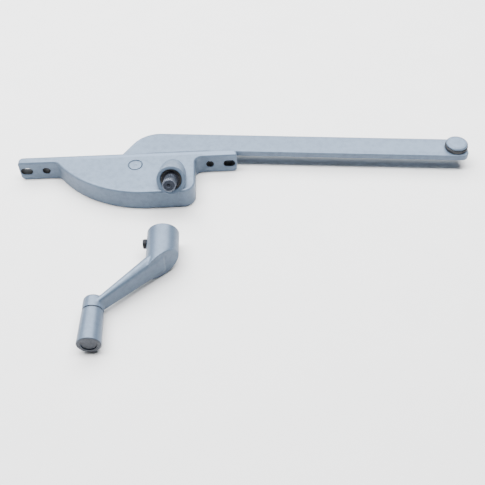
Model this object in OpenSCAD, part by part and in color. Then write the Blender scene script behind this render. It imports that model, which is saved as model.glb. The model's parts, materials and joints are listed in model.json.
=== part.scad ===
// Single-arm casement window operator with its loose crank handle.
// +X runs along the window frame, +Y points out of the window, +Z is up.
// The origin is on the mounting face, in line with the arm's pivot, at the underside.

/* [Housing] */
// Height of the die-cast housing
body_h = 16.2; // [15.8:0.1:20]
// Depth from the mounting face to the front wall
body_d = 42.9; // [42:0.1:56]
// Distance from the pivot to the end of the left ear
left_reach = 88; // [82:0.5:120]
// Distance from the pivot to the end of the right ear
right_reach = 75.2; // [70:0.2:110]
// Distance from the pivot to the body's right side
body_right = 43.9; // [42:0.1:58]
// Thickness of the two screw ears
ear_t = 6.6; // [5:0.1:8]
// Thickness of the walls
wall = 2.4; // [1.8:0.1:3]
// Thickness of the top plate
top_t = 2.4; // [1.8:0.1:3]
// Radius of the long curved front wall
arc_r = 83.5; // [70:0.5:110]
// Distance from the pivot to the end of the curve
arc_x = 10; // [4:1:20]
// Radius of the front right corner
corner_r = 9.5; // [6:0.5:14]
// Radius of the fillets between the body and the ears
fillet_r = 5.5; // [3:0.5:8]
// Radius of the ends of the ears
ear_end_r = 3.4; // [1:0.1:5]

/* [Mounting holes] */
// Height of the screw holes above the underside
hole_z = 7.6; // [6:0.1:9]
// Diameter of the round holes and width of the slots
hole_d = 5.8; // [4:0.1:7]
// End-to-end length of the outer slots
slot_len = 8.8; // [7:0.1:12]
// Distance from the pivot to the left slot
left_slot_x = 82.9; // [76:0.1:110]
// Distance between the centres of the two slots
slot_spacing = 152.4; // [140:0.1:200]
// Distance between each slot and the round hole beside it
hole_step = 14.7; // [13:0.1:20]
// Size of the countersink at the front of each hole
hole_chamfer = 0.3; // [0.1:0.1:0.8]

/* [Shaft boss] */
// Distance from the pivot to the crank shaft
shaft_x = 27.4; // [27.4:0.1:30]
// Upward tilt of the crank shaft, in degrees
shaft_tilt = 32; // [30:0.5:34]
// Distance from the mounting face to the centre of the boss's rim
rim_y = 38.3; // [37:0.1:40]
// Height of the centre of the boss's rim
rim_z = 22.5; // [22:0.1:24]
// Radius of the boss
boss_r = 10.4; // [9.5:0.1:11]
// Radius of the recess in the boss
recess_r = 7.7; // [7.6:0.1:8.4]
// Depth of the recess in the boss
recess_d = 4; // [3.6:0.1:5]

/* [Crank shaft] */
// Radius of the shaft in its bushing
shaft_r = 4.75; // [4.4:0.05:4.9]
// Length of the splined end outside the rim
spline_len = 18.8; // [12:0.1:22]
// Number of teeth of the spline
spline_n = 20; // [12:1:28]
// Depth of the teeth of the spline
spline_depth = 0.5; // [0.3:0.05:0.6]
// Radius of the worm at its crests
worm_r = 4.6; // [4.4:0.05:4.6]
// Depth of the worm's thread
thread_depth = 1.5; // [1.2:0.1:1.6]

/* [Arm] */
// Thickness of the arm
arm_t = 4.6; // [4:0.1:5]
// Width of the arm
arm_w = 19.35; // [16:0.05:22]
// Distance from the pivot to the arm's back edge
arm_offset = 40.3; // [38:0.1:41]
// Distance along the arm from the pivot to the guide stud
arm_reach = 239.2; // [180:0.1:320]
// Distance from the guide stud to the tip
tip_margin = 8.8; // [8.8:0.1:14]
// Radius of the corners of the tip
tip_r = 5; // [2:0.5:8]
// Angle of the closed arm to the mounting face
arm_angle = -5.3; // [-5.3:0.1:0]
// Angle of the neck to the straight arm
neck_angle = 62.3; // [58:0.1:66]
// Outer radius of the bend between neck and arm
bend_r = 23; // [20:0.5:26]
// Radius of the arm's round hub
hub_r = 18.1; // [17:0.1:19]
// Gap between the arm and the housing's top plate
arm_gap = 0.6; // [0.5:0.1:0.8]

/* [Gear] */
// Teeth in a full turn of the gear
gear_n = 36; // [36:1:36]
// Number of teeth on the sector
sector_n = 13; // [13:1:14]
// Thickness of the gear sector
gear_t = 4.2; // [3.6:0.1:4.6]
// Depth of the gear teeth
gear_depth = 1.6; // [1.4:0.1:1.8]
// How far the gear teeth reach into the worm
mesh_depth = 1.1; // [0.9:0.1:1.2]
// Play between thread and tooth
backlash = 0.8; // [0.7:0.05:1]

/* [Pivot] */
// Distance from the mounting face to the pivot
pivot_y = 13.5; // [13:0.1:15]
// Radius of the pivot pin's flush head
pin_head_r = 4.9; // [4.6:0.1:5.2]
// Radius of the pivot pin in its bushing
pin_r = 4.2; // [3.8:0.1:4.4]
// Outer radius of the pivot bushing
bush_r = 5.3; // [5:0.1:6]

/* [Guide] */
// Radius of the guide stud's flat head
stud_head_r = 8; // [6:0.1:9]
// Thickness of the guide stud's head
stud_head_t = 1.9; // [1.5:0.1:3]
// Radius of the guide roller
roller_r = 8.5; // [8:0.1:10]
// Height of the guide roller
roller_t = 2.7; // [2:0.1:5]
// Radius of the guide stud's shank
stud_r = 3.1; // [2.5:0.1:4]

/* [Handle] */
// Distance from the pivot to the handle's hub
handle_x = 22.2; // [20:0.1:40]
// Distance from the mounting face to the mouth of the socket
handle_y = 79.2; // [70:0.1:100]
// Radius of the handle's hub
handle_r = 10.9; // [9.5:0.1:12]
// Depth of the splined socket
socket_len = 19.5; // [14:0.5:22]
// Sideways distance between hub and knob
throw = 42.6; // [38:0.1:60]
// Distance along the hub from the socket's mouth to the knob
handle_len = 60.9; // [58:0.1:80]
// Distance from the socket's mouth to the arm's outer face, beside the hub
face_v = 18.8; // [18:0.1:24]
// Slope of the arm's outer face, in degrees
face_slope = 38; // [34:0.5:40]
// Radius of the collar that carries the knob
collar_r = 6.9; // [6:0.1:8]
// Length of the collar
collar_len = 9.2; // [8:0.1:12]
// Radius of the knob at the collar
knob_r0 = 6.9; // [6:0.1:8]
// Radius of the knob at its free end
knob_r1 = 7.8; // [7:0.1:9]
// Length of the knob
knob_len = 24.9; // [20:0.1:40]
// Radius of the pin that the knob turns on
knob_pin_r = 2.6; // [2:0.1:3.4]
// Radius of the set screw
screw_r = 3.5; // [2.5:0.1:3.6]
// Distance from the socket's mouth to the set screw
screw_v = 8.4; // [6:0.1:12]
// How far the set screw stands out of the hub
screw_out = 2.5; // [1:0.1:4]

/* [Hidden] */

$fn = 72;
hull_fn = 40;
eps = 0.01;
run_gap = 0.05;

paint = [0.66, 0.71, 0.76];
steel = [0.55, 0.56, 0.58];
dark_steel = [0.22, 0.23, 0.25];
bronze = [0.62, 0.5, 0.34];
nylon = [0.06, 0.06, 0.07];

// Base plate and what stands on it
plate_t = 1.2;
plate_gap = 0.15;
post_r = 3.2;
screw_head_r = 2.6;
screw_shank_r = 1.4;
screw_len = 8;
posts = [[-46.5, -7.6], [-32, -24.5], [body_right - 6.9, 8.4 - body_d], [body_right - 5.9, -7]];
cavity_left = 50.5;

// Levels of the arm and the gear under the top plate
top_under = body_h - top_t;
arm_z = top_under - arm_gap - arm_t;
gear_z = arm_z - gear_t;
washer_t = arm_gap - 0.15;

// Arm: bend and neck, in a frame that lies along the straight arm
neck_dir = [cos(neck_angle + 90), sin(neck_angle + 90)];
bend_y = arm_offset - bend_r;
bend_x = (bend_y * neck_dir[1] + bend_r - hub_r) / -neck_dir[0];
web_r = pivot_y + 2.7;
web_x = 50;
arm_front = arm_offset - arm_w;
web_dist = norm([web_x, arm_front]);
web_a = atan2(arm_front, web_x) + acos(web_r / web_dist);
rivet_ring = 11.5;
rivet_r = 2;

// Worm and gear: the worm's axis passes beside the gear at mesh_s along the shaft
mesh_s = (rim_y - pivot_y) / cos(shaft_tilt);
gear_out_r = shaft_x - worm_r + mesh_depth;
gear_root_r = gear_out_r - gear_depth;
gear_pitch_r = gear_out_r - mesh_depth / 2;
worm_pitch_r = shaft_x - gear_pitch_r;
worm_root_r = worm_r - thread_depth;
circular_pitch = 2 * PI * gear_pitch_r / gear_n;
lead_guess = atan(circular_pitch * cos(shaft_tilt) / (2 * PI * worm_pitch_r));
normal_pitch = circular_pitch * cos(shaft_tilt - lead_guess);
axial_pitch = normal_pitch / cos(lead_guess);
lead_angle = atan(axial_pitch / (2 * PI * worm_pitch_r));
tooth_lean = shaft_tilt - lead_angle;
worm_s = mesh_s - 7.4;
worm_end_s = mesh_s + 3.3;
pad_s = worm_end_s + 0.1;
thread_steps = 18;
worm_lag = 20;
pad_t = 3.1;
pad_r = 2.4;
gear_clear = 0.9;
boss_len = 17.5;

// Bushing and retaining ring on the shaft
flange_t = 1;
flange_r = recess_r - 0.3;
bushing_r = 6.5;
bushing_end_s = 17;
ring_t = 0.9;
ring_r = 6;
groove_r = 4.2;
ring_s = recess_d - flange_t - ring_t - run_gap;

// Handle
hub_z = handle_r;
knob_z = knob_r1;
socket_r = shaft_r - spline_depth + 0.15;
socket_root_r = shaft_r + 0.1;
washer_seat = 0.9;
knob_bore_gap = 0.05;
knob_head_r = 4.6;
knob_head_t = 1.4;

function polar(r, a) = [r * cos(a), r * sin(a)];

// Puts its children on the shaft, s inward from the boss's rim, with +Z pointing out of it
module on_shaft(s) {
    translate([shaft_x, -rim_y, rim_z])
        rotate([90 - shaft_tilt, 0, 0])
            translate([0, 0, -s])
                children();
}

// A cylinder along the shaft from s0 to s1, both inward from the rim
module shaft_cylinder(r, s0, s1) {
    on_shaft(s1) cylinder(r = r, h = s1 - s0);
}

module at_pivot(z) {
    translate([0, -pivot_y, z]) children();
}

// Plan of the body without its ears, its walls moved in by inset
module body_plan(inset, left, back) {
    front = inset - body_d;
    side = body_right - inset;
    corner = corner_r - inset;
    intersection() {
        union() {
            translate([arc_x, arc_r - body_d]) circle(r = arc_r - inset);
            translate([arc_x, front]) square([side - corner - arc_x, body_d]);
            translate([arc_x, front + corner]) square([side - arc_x, body_d]);
            translate([side - corner, front + corner]) circle(r = corner);
        }
        translate([-left, front]) square([left + side, -front - back]);
    }
}

// Plan of the fillet between the curved wall and the left ear
module left_fillet() {
    dy = arc_r - body_d + ear_t;
    centre = [arc_x - sqrt(pow(arc_r + fillet_r, 2) - pow(dy + fillet_r, 2)), -ear_t - fillet_r];
    to_arc = [arc_x, arc_r - body_d] - centre;
    touch = centre + to_arc * fillet_r / norm(to_arc);
    corner = [arc_x - sqrt(pow(arc_r, 2) - pow(dy, 2)), -ear_t];
    difference() {
        polygon([centre, [centre[0], -ear_t + eps], corner + [1, eps], corner + [1, -1], touch]);
        translate(centre) circle(r = fillet_r);
    }
}

module right_fillet() {
    difference() {
        translate([body_right - eps, -ear_t - fillet_r]) square([fillet_r + eps, fillet_r + eps]);
        translate([body_right + fillet_r, -ear_t - fillet_r]) circle(r = fillet_r);
    }
}

// Plan of both ears as one bar, rounded at its two back corners
module ear_plan() {
    r = ear_end_r;
    translate([-left_reach, -ear_t]) square([left_reach + right_reach, ear_t - r]);
    translate([r - left_reach, -ear_t]) square([left_reach + right_reach - 2 * r, ear_t]);
    translate([r - left_reach, -r]) circle(r = r);
    translate([right_reach - r, -r]) circle(r = r);
}

// Front view of the whole bar, rounded at its two lower corners
module end_profile() {
    r = ear_end_r;
    translate([-left_reach, r]) square([left_reach + right_reach, body_h - r]);
    translate([r - left_reach, 0]) square([left_reach + right_reach - 2 * r, body_h]);
    translate([r - left_reach, r]) circle(r = r);
    translate([right_reach - r, r]) circle(r = r);
}

// One screw hole through an ear, run out sideways into a slot of the given length
module screw_hole(x, len) {
    run = len - hole_d;
    for (side = run > 0 ? [-1, 1] : [0])
        translate([x + side * run / 2, 0, hole_z]) rotate([90, 0, 0]) {
            translate([0, 0, -1]) cylinder(d = hole_d, h = ear_t + 2);
            translate([0, 0, ear_t - hole_chamfer])
                cylinder(d1 = hole_d, d2 = hole_d + 2 * hole_chamfer, h = hole_chamfer + eps);
        }
    if (run > 0)
        translate([x - run / 2, -ear_t - 1, hole_z - hole_d / 2]) cube([run, ear_t + 2, hole_d]);
}

module screw_holes() {
    right_slot_x = slot_spacing - left_slot_x;
    screw_hole(-left_slot_x, slot_len);
    screw_hole(right_slot_x, slot_len);
    screw_hole(-left_slot_x + hole_step, hole_d);
    screw_hole(right_slot_x - hole_step, hole_d);
}

// The openings in the back wall that the arm and the gear swing through
module swing_slots() {
    gear_half = sqrt(pow(gear_out_r + gear_clear, 2) - pow(pivot_y - wall, 2));
    arm_left = arm_offset + 2;
    slot_z = arm_z - 0.4;
    translate([-arm_left, -wall - eps, slot_z]) cube([arm_left + gear_half, wall + 1, top_under - slot_z]);
    translate([-gear_half, -wall - eps, gear_z - 0.4])
        cube([2 * gear_half, wall + 1, top_under - gear_z + 0.4]);
}

// Shallow step in the back of the right ear, where the closed arm lies against it
module arm_relief() {
    relief_d = 0.4;
    relief_x = slot_spacing - left_slot_x - hole_step + hole_d / 2 + 1.5;
    translate([relief_x, -relief_d, arm_z - 0.4]) cube([right_reach, 2 * relief_d, arm_t + 0.8]);
}

// Rib in front of the back wall that takes the thrust of the worm
module thrust_rib() {
    rib_w = 7;
    rib_d = 6.6;
    difference() {
        translate([shaft_x - 2.2, -wall - rib_d, plate_t + 0.1])
            cube([rib_w, rib_d + eps, top_under - plate_t]);
        shaft_cylinder(worm_r + 0.5, 0, pad_s);
        shaft_cylinder(pad_r, 0, pad_s + pad_t);
    }
}

// The tilted boss: outside it fades out into the top plate, and inside a thinner stub holds the bushing
module boss() {
    stub_step = 0.6;
    difference() {
        shaft_cylinder(boss_r, 0, 2 * boss_len);
        translate([shaft_x - 2 * boss_r, wall - body_d, top_under - 2 * body_h])
            cube([4 * boss_r, 2 * body_d, 2 * body_h]);
    }
    shaft_cylinder(boss_r - stub_step, stub_step, boss_len);
}

module housing() {
    color(paint) difference() {
        union() {
            difference() {
                intersection() {
                    linear_extrude(body_h) {
                        body_plan(0, left_reach, 0);
                        left_fillet();
                        right_fillet();
                        ear_plan();
                    }
                    translate([0, 1, 0]) rotate([90, 0, 0]) linear_extrude(body_d + 2) end_profile();
                }
                translate([0, 0, -eps]) linear_extrude(top_under + eps) body_plan(wall, cavity_left, wall);
            }
            boss();
            for (p = posts)
                translate([p[0], p[1], plate_t]) cylinder(r = post_r, h = top_under - plate_t + eps);
            thrust_rib();
        }
        shaft_cylinder(recess_r, -1, recess_d);
        shaft_cylinder(bushing_r, 0, boss_len + 1);
        shaft_cylinder(worm_r + 0.4, boss_len, pad_s);
        at_pivot(gear_z - 0.4) cylinder(r = gear_out_r + gear_clear, h = gear_t + 0.8);
        at_pivot(arm_z - 0.4) cylinder(r = hub_r + 1, h = top_under - arm_z + 0.4);
        at_pivot(top_under - eps) cylinder(r = pin_head_r, h = top_t + 1);
        for (p = posts) translate([p[0], p[1], 0]) cylinder(r = screw_shank_r, h = screw_len);
        swing_slots();
        arm_relief();
        screw_holes();
    }
}

module base_plate() {
    color(steel) difference() {
        linear_extrude(plate_t) body_plan(wall + plate_gap, cavity_left - plate_gap, wall + plate_gap);
        at_pivot(-1) cylinder(r = 3, h = plate_t + 2);
        for (p = posts) translate([p[0], p[1], 0]) {
            translate([0, 0, -1]) cylinder(r = screw_shank_r, h = plate_t + 2);
            cylinder(r1 = screw_head_r, r2 = screw_shank_r, h = plate_t);
        }
    }
}

module base_screws() {
    color(steel) for (p = posts) translate([p[0], p[1], 0]) difference() {
        union() {
            cylinder(r1 = screw_head_r, r2 = screw_shank_r, h = plate_t);
            cylinder(r = screw_shank_r, h = screw_len - 0.5);
        }
        for (a = [0, 90]) rotate(a) translate([-1.5, -0.3, -1]) cube([3, 0.6, 1.7]);
    }
}

module shaft_bushing() {
    color(bronze) difference() {
        union() {
            shaft_cylinder(flange_r, recess_d - flange_t, recess_d);
            shaft_cylinder(bushing_r, recess_d - eps, bushing_end_s);
        }
        shaft_cylinder(shaft_r + run_gap, 0, bushing_end_s + 1);
    }
}

module thrust_pad() {
    color(steel) shaft_cylinder(pad_r, pad_s, pad_s + pad_t);
}

module pivot_pin() {
    color(paint) at_pivot(0) {
        cylinder(r = 3, h = plate_t + eps);
        translate([0, 0, plate_t]) cylinder(r = pin_r, h = top_under - plate_t + eps);
        translate([0, 0, top_under]) cylinder(r = pin_head_r, h = top_t);
    }
}

module upper_washer() {
    color(steel) at_pivot(top_under - washer_t) difference() {
        cylinder(r = 9.5, h = washer_t);
        translate([0, 0, -1]) cylinder(r = pin_r + run_gap, h = washer_t + 2);
    }
}

module lower_spacer() {
    color(steel) at_pivot(plate_t) difference() {
        cylinder(r = 8, h = gear_z - plate_t - 0.1);
        translate([0, 0, -1]) cylinder(r = pin_r + run_gap, h = gear_z);
    }
}

// The arm's blank: round hub, straight neck, round bend and long straight arm with a rounded tip
module arm_blank() {
    end = arm_reach + tip_margin;
    bend = [bend_x, bend_y];
    reach = 2 * bend_r;
    cylinder(r = hub_r, h = arm_t);
    intersection() {
        translate([bend_x, bend_y, 0]) cylinder(r = bend_r, h = arm_t);
        linear_extrude(arm_t)
            polygon([bend, bend + neck_dir * reach, bend + [-reach, reach], bend + [0, reach]]);
    }
    linear_extrude(arm_t)
        polygon([[0, 0], neck_dir * hub_r, bend + neck_dir * bend_r, [bend_x, arm_offset],
                 [end - tip_r, arm_offset], [end - tip_r, arm_front],
                 [web_x, arm_front], polar(web_r, web_a)]);
    translate([end - 3 * tip_r, arm_front + tip_r, 0]) cube([3 * tip_r, arm_w - 2 * tip_r, arm_t]);
    for (y = [arm_front + tip_r, arm_offset - tip_r])
        translate([end - tip_r, y, 0]) cylinder(r = tip_r, h = arm_t);
}

// The rivets sit where both the arm's hub and the gear's disc have metal
module rivet_places() {
    for (a = [30, 150, 270]) rotate(a) translate([rivet_ring, 0, 0]) children();
}

module arm() {
    color(paint) at_pivot(arm_z) rotate(arm_angle) difference() {
        arm_blank();
        translate([0, 0, -1]) cylinder(r = bush_r, h = arm_t + 2);
        rivet_places() translate([0, 0, -1]) cylinder(r = rivet_r, h = arm_t + 2);
        translate([arm_reach, arm_offset - arm_w / 2, -1]) cylinder(r = stud_r, h = arm_t + 2);
    }
}

// One gear tooth, leaning to match the worm's thread
module gear_tooth() {
    half_out = (normal_pitch - backlash) / 4;
    half_root = half_out + gear_depth * tan(18);
    translate([0, 0, gear_t / 2]) rotate([-tooth_lean, 0, 0]) translate([0, 0, -gear_t])
        linear_extrude(2 * gear_t)
            polygon([[gear_root_r - 1, -half_root], [gear_out_r, -half_out],
                     [gear_out_r, half_out], [gear_root_r - 1, half_root]]);
}

module gear_sector() {
    step = 360 / gear_n;
    start = (2 - sector_n) * step;
    color(steel) at_pivot(gear_z) difference() {
        intersection() {
            union() {
                cylinder(r = 15.5, h = gear_t);
                linear_extrude(gear_t) intersection() {
                    circle(r = gear_root_r);
                    polygon([[0, 0], polar(2 * gear_out_r, start - step / 2),
                             polar(3 * gear_out_r, start / 2), polar(2 * gear_out_r, 1.5 * step)]);
                }
                for (i = [0 : sector_n - 1]) rotate(start + i * step) gear_tooth();
            }
            cylinder(r = gear_out_r, h = gear_t);
        }
        translate([0, 0, -1]) cylinder(r = bush_r, h = gear_t + 2);
        rotate(arm_angle) rivet_places() translate([0, 0, -1]) cylinder(r = rivet_r, h = gear_t + 2);
    }
}

module gear_rivets() {
    color(steel) at_pivot(gear_z) rotate(arm_angle) rivet_places() cylinder(r = rivet_r, h = gear_t + arm_t);
}

module pivot_bushing() {
    color(bronze) at_pivot(gear_z) difference() {
        cylinder(r = bush_r, h = gear_t + arm_t);
        translate([0, 0, -1]) cylinder(r = pin_r + run_gap, h = gear_t + arm_t + 2);
    }
}

module at_guide(z) {
    at_pivot(z) rotate(arm_angle) translate([arm_reach, arm_offset - arm_w / 2, 0]) children();
}

module guide_stud() {
    gap = 0.15;
    edge = 0.5;
    head_z = arm_t + roller_t + 2 * gap;
    color(paint) at_guide(arm_z) {
        cylinder(r = stud_r, h = head_z + eps);
        translate([0, 0, head_z]) cylinder(r = stud_head_r, h = stud_head_t - edge);
        translate([0, 0, head_z + stud_head_t - edge])
            cylinder(r1 = stud_head_r, r2 = stud_head_r - edge, h = edge);
    }
}

module guide_roller() {
    color(nylon) at_guide(arm_z + arm_t + 0.15) difference() {
        cylinder(r = roller_r, h = roller_t);
        translate([0, 0, -1]) cylinder(r = stud_r + run_gap, h = roller_t + 2);
    }
}

// Outline of the spline's teeth, with sharp crests at outer and valleys at inner
module spline_outline(outer, inner) {
    polygon([for (i = [0 : 2 * spline_n - 1]) polar(i % 2 == 0 ? outer : inner, i * 180 / spline_n)]);
}

// Left-handed single thread and its core, as a twisted section whose lobe is the thread
module worm() {
    flank = thread_depth * tan(18);
    crest_a = 90 * (axial_pitch - backlash) / axial_pitch;
    root_a = crest_a + 360 * flank / axial_pitch;
    steps = 5;
    lobe = [for (i = [-steps : steps]) polar(worm_r, crest_a * i / steps)];
    core = [for (i = [0 : steps]) polar(worm_root_r, root_a + (360 - 2 * root_a) * i / steps)];
    worm_len = worm_end_s - worm_s;
    turns = worm_len / axial_pitch;
    phase = 360 * (worm_end_s - mesh_s) / axial_pitch - worm_lag;
    color(dark_steel) on_shaft(worm_end_s) rotate(phase)
        linear_extrude(worm_len, twist = 360 * turns, slices = round(turns * thread_steps),
                       segments = len(lobe) + len(core), convexity = 10)
            polygon(concat(lobe, core));
}

module crank_shaft() {
    collar_s = -2.4;
    tip_edge = 0.6;
    spline_h = spline_len + collar_s + 0.2;
    crest_r = shaft_r - 0.05;
    color(dark_steel) difference() {
        union() {
            shaft_cylinder(shaft_r, collar_s, bushing_end_s + 1.2);
            shaft_cylinder(worm_root_r, bushing_end_s, worm_s);
            on_shaft(collar_s + 0.2) intersection() {
                linear_extrude(spline_h) spline_outline(crest_r, crest_r - spline_depth);
                cylinder(r1 = crest_r - tip_edge + spline_h, r2 = crest_r - tip_edge, h = spline_h);
            }
        }
        difference() {
            shaft_cylinder(shaft_r + 1, ring_s - run_gap, ring_s + ring_t + run_gap);
            shaft_cylinder(groove_r, 0, recess_d);
        }
    }
}

module shaft_ring() {
    slot_w = 3;
    color(nylon) on_shaft(ring_s + ring_t) difference() {
        cylinder(r = ring_r, h = ring_t);
        translate([0, 0, -1]) cylinder(r = groove_r, h = ring_t + 2);
        translate([-slot_w / 2, -ring_r - 1, -1]) cube([slot_w, ring_r, ring_t + 2]);
    }
}

// Frame of the handle: origin at the socket's mouth, +Z along the hub towards the knob
module at_handle() {
    translate([handle_x, -handle_y, hub_z]) rotate([90, 0, 0]) children();
}

module at_knob(v) {
    translate([handle_x - throw, -handle_y, knob_z]) rotate([90, 0, 0]) translate([0, 0, v]) children();
}

// A slab that tapers from the hub to the collar, as two rounded uprights in one hull
module handle_arm() {
    hub_half = 8.8;
    hub_round = 3.2;
    collar_round = 2;
    collar_half = collar_r - 0.9;
    face_sink = 0.9;
    inner_v = 9.2;
    outer_u = handle_r - 12;
    outer_v = face_v + (handle_r - outer_u) * tan(face_slope);
    collar_u = 2 - throw;
    knob_v = face_v + (handle_r - collar_u) * tan(face_slope);
    color(paint) translate([handle_x, -handle_y, 0]) hull() {
        for (side = [-1, 1]) {
            translate([outer_u, -outer_v + hub_round + face_sink, hub_z + side * (hub_half - hub_round)])
                sphere(r = hub_round, $fn = hull_fn);
            translate([hub_round - handle_r, -face_v - inner_v, hub_z + side * (hub_half - hub_round)])
                sphere(r = hub_round, $fn = hull_fn);
            translate([collar_u, -knob_v + collar_round, knob_z + side * (collar_half - collar_round)])
                sphere(r = collar_round, $fn = hull_fn);
        }
    }
}

module handle() {
    collar_v = handle_len - 0.6 - collar_len;
    dome = 1.6;
    color(paint) difference() {
        union() {
            intersection() {
                at_handle() cylinder(r = handle_r, h = face_v + 2 * handle_r);
                translate([handle_x + handle_r, -handle_y - face_v, -1]) rotate(face_slope)
                    translate([-4 * handle_r, 0, 0]) cube([8 * handle_r, 8 * handle_r, 4 * handle_r]);
            }
            handle_arm();
            at_knob(collar_v) {
                cylinder(r1 = collar_r - dome, r2 = collar_r, h = dome + eps);
                translate([0, 0, dome]) cylinder(r = collar_r, h = collar_len - dome);
            }
        }
        at_handle() {
            translate([0, 0, -1]) cylinder(r = socket_r, h = socket_len + 1);
            translate([0, 0, -1]) linear_extrude(socket_len + 1)
                spline_outline(socket_root_r, socket_r - 0.3);
        }
        translate([handle_x, -handle_y - screw_v, hub_z]) rotate([0, -90, 0])
            cylinder(r = screw_r + run_gap, h = handle_r + 2);
        at_knob(collar_v - 1) cylinder(r = knob_pin_r, h = collar_len + 2);
    }
}

module knob_pin() {
    collar_v = handle_len - 0.6 - collar_len;
    color(steel) {
        at_knob(collar_v) cylinder(r = knob_pin_r, h = collar_len + knob_len + 0.6 - 0.7);
        at_knob(handle_len + knob_len - 0.7 - knob_head_t) cylinder(r = knob_head_r, h = knob_head_t);
    }
}

module knob_washer() {
    color(nylon) at_knob(handle_len - 0.6) difference() {
        cylinder(r = knob_r0 - 0.5, h = 0.45);
        translate([0, 0, -1]) cylinder(r = knob_pin_r + run_gap, h = 3);
    }
}

module knob() {
    lip = 1.2;
    color(paint) at_knob(handle_len) difference() {
        union() {
            cylinder(r1 = knob_r0, r2 = knob_r1, h = knob_len - lip);
            translate([0, 0, knob_len - lip - eps]) cylinder(r1 = knob_r1, r2 = knob_r1 - lip, h = lip + eps);
        }
        translate([0, 0, -1]) cylinder(r = knob_pin_r + knob_bore_gap, h = knob_len + 2);
        translate([0, 0, knob_len - 0.7 - knob_head_t - 0.2]) cylinder(r = knob_head_r + 0.2, h = 4);
    }
}

module set_screw() {
    tip = socket_root_r + 0.1;
    slot_w = 1.2;
    color(nylon) translate([handle_x, -handle_y - screw_v, hub_z]) rotate([0, -90, 0]) difference() {
        translate([0, 0, tip]) cylinder(r = screw_r, h = handle_r + screw_out - tip);
        translate([-screw_r - 1, -slot_w / 2, handle_r + screw_out - 1.4]) cube([2 * screw_r + 2, slot_w, 3]);
    }
}

housing();
base_plate();
base_screws();
shaft_bushing();
thrust_pad();
pivot_pin();
upper_washer();
lower_spacer();
arm();
gear_sector();
gear_rivets();
pivot_bushing();
guide_stud();
guide_roller();
crank_shaft();
worm();
shaft_ring();
handle();
knob_pin();
knob_washer();
knob();
set_screw();
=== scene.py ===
"""Looks for a single-arm casement window operator and its loose crank handle."""
import json
import math

import bmesh
import bpy
from bpy.props import FloatProperty, FloatVectorProperty, PointerProperty
from mathutils import Matrix, Vector


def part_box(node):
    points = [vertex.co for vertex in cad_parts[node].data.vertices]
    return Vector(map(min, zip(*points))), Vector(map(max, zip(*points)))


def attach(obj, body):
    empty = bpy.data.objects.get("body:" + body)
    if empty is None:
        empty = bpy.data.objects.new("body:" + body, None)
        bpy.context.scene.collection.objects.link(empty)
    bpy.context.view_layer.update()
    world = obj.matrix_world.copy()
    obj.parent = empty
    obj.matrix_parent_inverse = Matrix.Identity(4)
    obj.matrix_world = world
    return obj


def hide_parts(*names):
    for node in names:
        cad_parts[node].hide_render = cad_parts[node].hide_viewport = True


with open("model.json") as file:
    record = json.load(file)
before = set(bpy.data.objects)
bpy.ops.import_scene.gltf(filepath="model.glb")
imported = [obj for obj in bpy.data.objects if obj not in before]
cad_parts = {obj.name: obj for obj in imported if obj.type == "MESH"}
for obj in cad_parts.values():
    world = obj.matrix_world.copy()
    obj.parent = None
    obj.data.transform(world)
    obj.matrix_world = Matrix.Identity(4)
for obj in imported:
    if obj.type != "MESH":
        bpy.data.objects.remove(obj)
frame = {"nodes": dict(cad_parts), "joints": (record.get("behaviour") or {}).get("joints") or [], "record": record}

bl_info = {
    "name": "Window Operator",
    "version": (1, 0, 0),
    "blender": (4, 5, 0),
    "location": "View3D > Sidebar > Window Operator",
    "description": "Casement window operator with a swinging arm and a crank handle",
    "category": "Object",
}

MM = 0.001
JOINTS = {joint["name"]: joint for joint in frame["joints"]}


# ---------------------------------------------------------------- places from the frame

def node_span(node):
    """Lowest and highest corner of a CAD node, in millimetres."""
    low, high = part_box(node)
    return Vector(low) / MM, Vector(high) / MM


def joint_place(name):
    return Vector(JOINTS[name]["pos_m"]) / MM


PIVOT = joint_place("arm_swing")
SHAFT = joint_place("crank_turn")
SHAFT_IN = Vector(JOINTS["crank_turn"]["axis"]).normalized()
GUIDE = joint_place("roller_spin")
KNOB = joint_place("knob_spin")
HOUSING_LOW, HOUSING_HIGH = node_span("housing")
ARM_LOW, ARM_HIGH = node_span("arm")
HANDLE_LOW, HANDLE_HIGH = node_span("handle")
TOP_Z = node_span("pivot_pin")[1].z
TOP_UNDER = node_span("upper_washer")[1].z
BASE_CLEAR = 2.55
BODY_DEPTH = -node_span("base_plate")[0].y + BASE_CLEAR
CAVITY_LEFT = -node_span("base_plate")[0].x + 0.15
# Room left round what moves or is cut through
ARM_GAP = 0.4
# Distance along the shaft, from the boss's rim, at which the worm meets the gear
MESH = (SHAFT.y - PIVOT.y) / -SHAFT_IN.y
# Bores that more than one piece shares
PIN_BORE_R = 5.05
ARM_BORE_R = 5.3
GUIDE_PIN_R = 3.1
KNOB_BORE_R = 2.6


# ---------------------------------------------------------------- sizes and colours

def length(name, about, millimetres):
    return FloatProperty(name=name, description=about, default=millimetres * MM, unit="LENGTH",
                         subtype="DISTANCE", precision=5)


def tone(name, about, colour):
    return FloatVectorProperty(name=name, description=about, default=colour, size=3, min=0, max=1,
                               subtype="COLOR")


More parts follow.
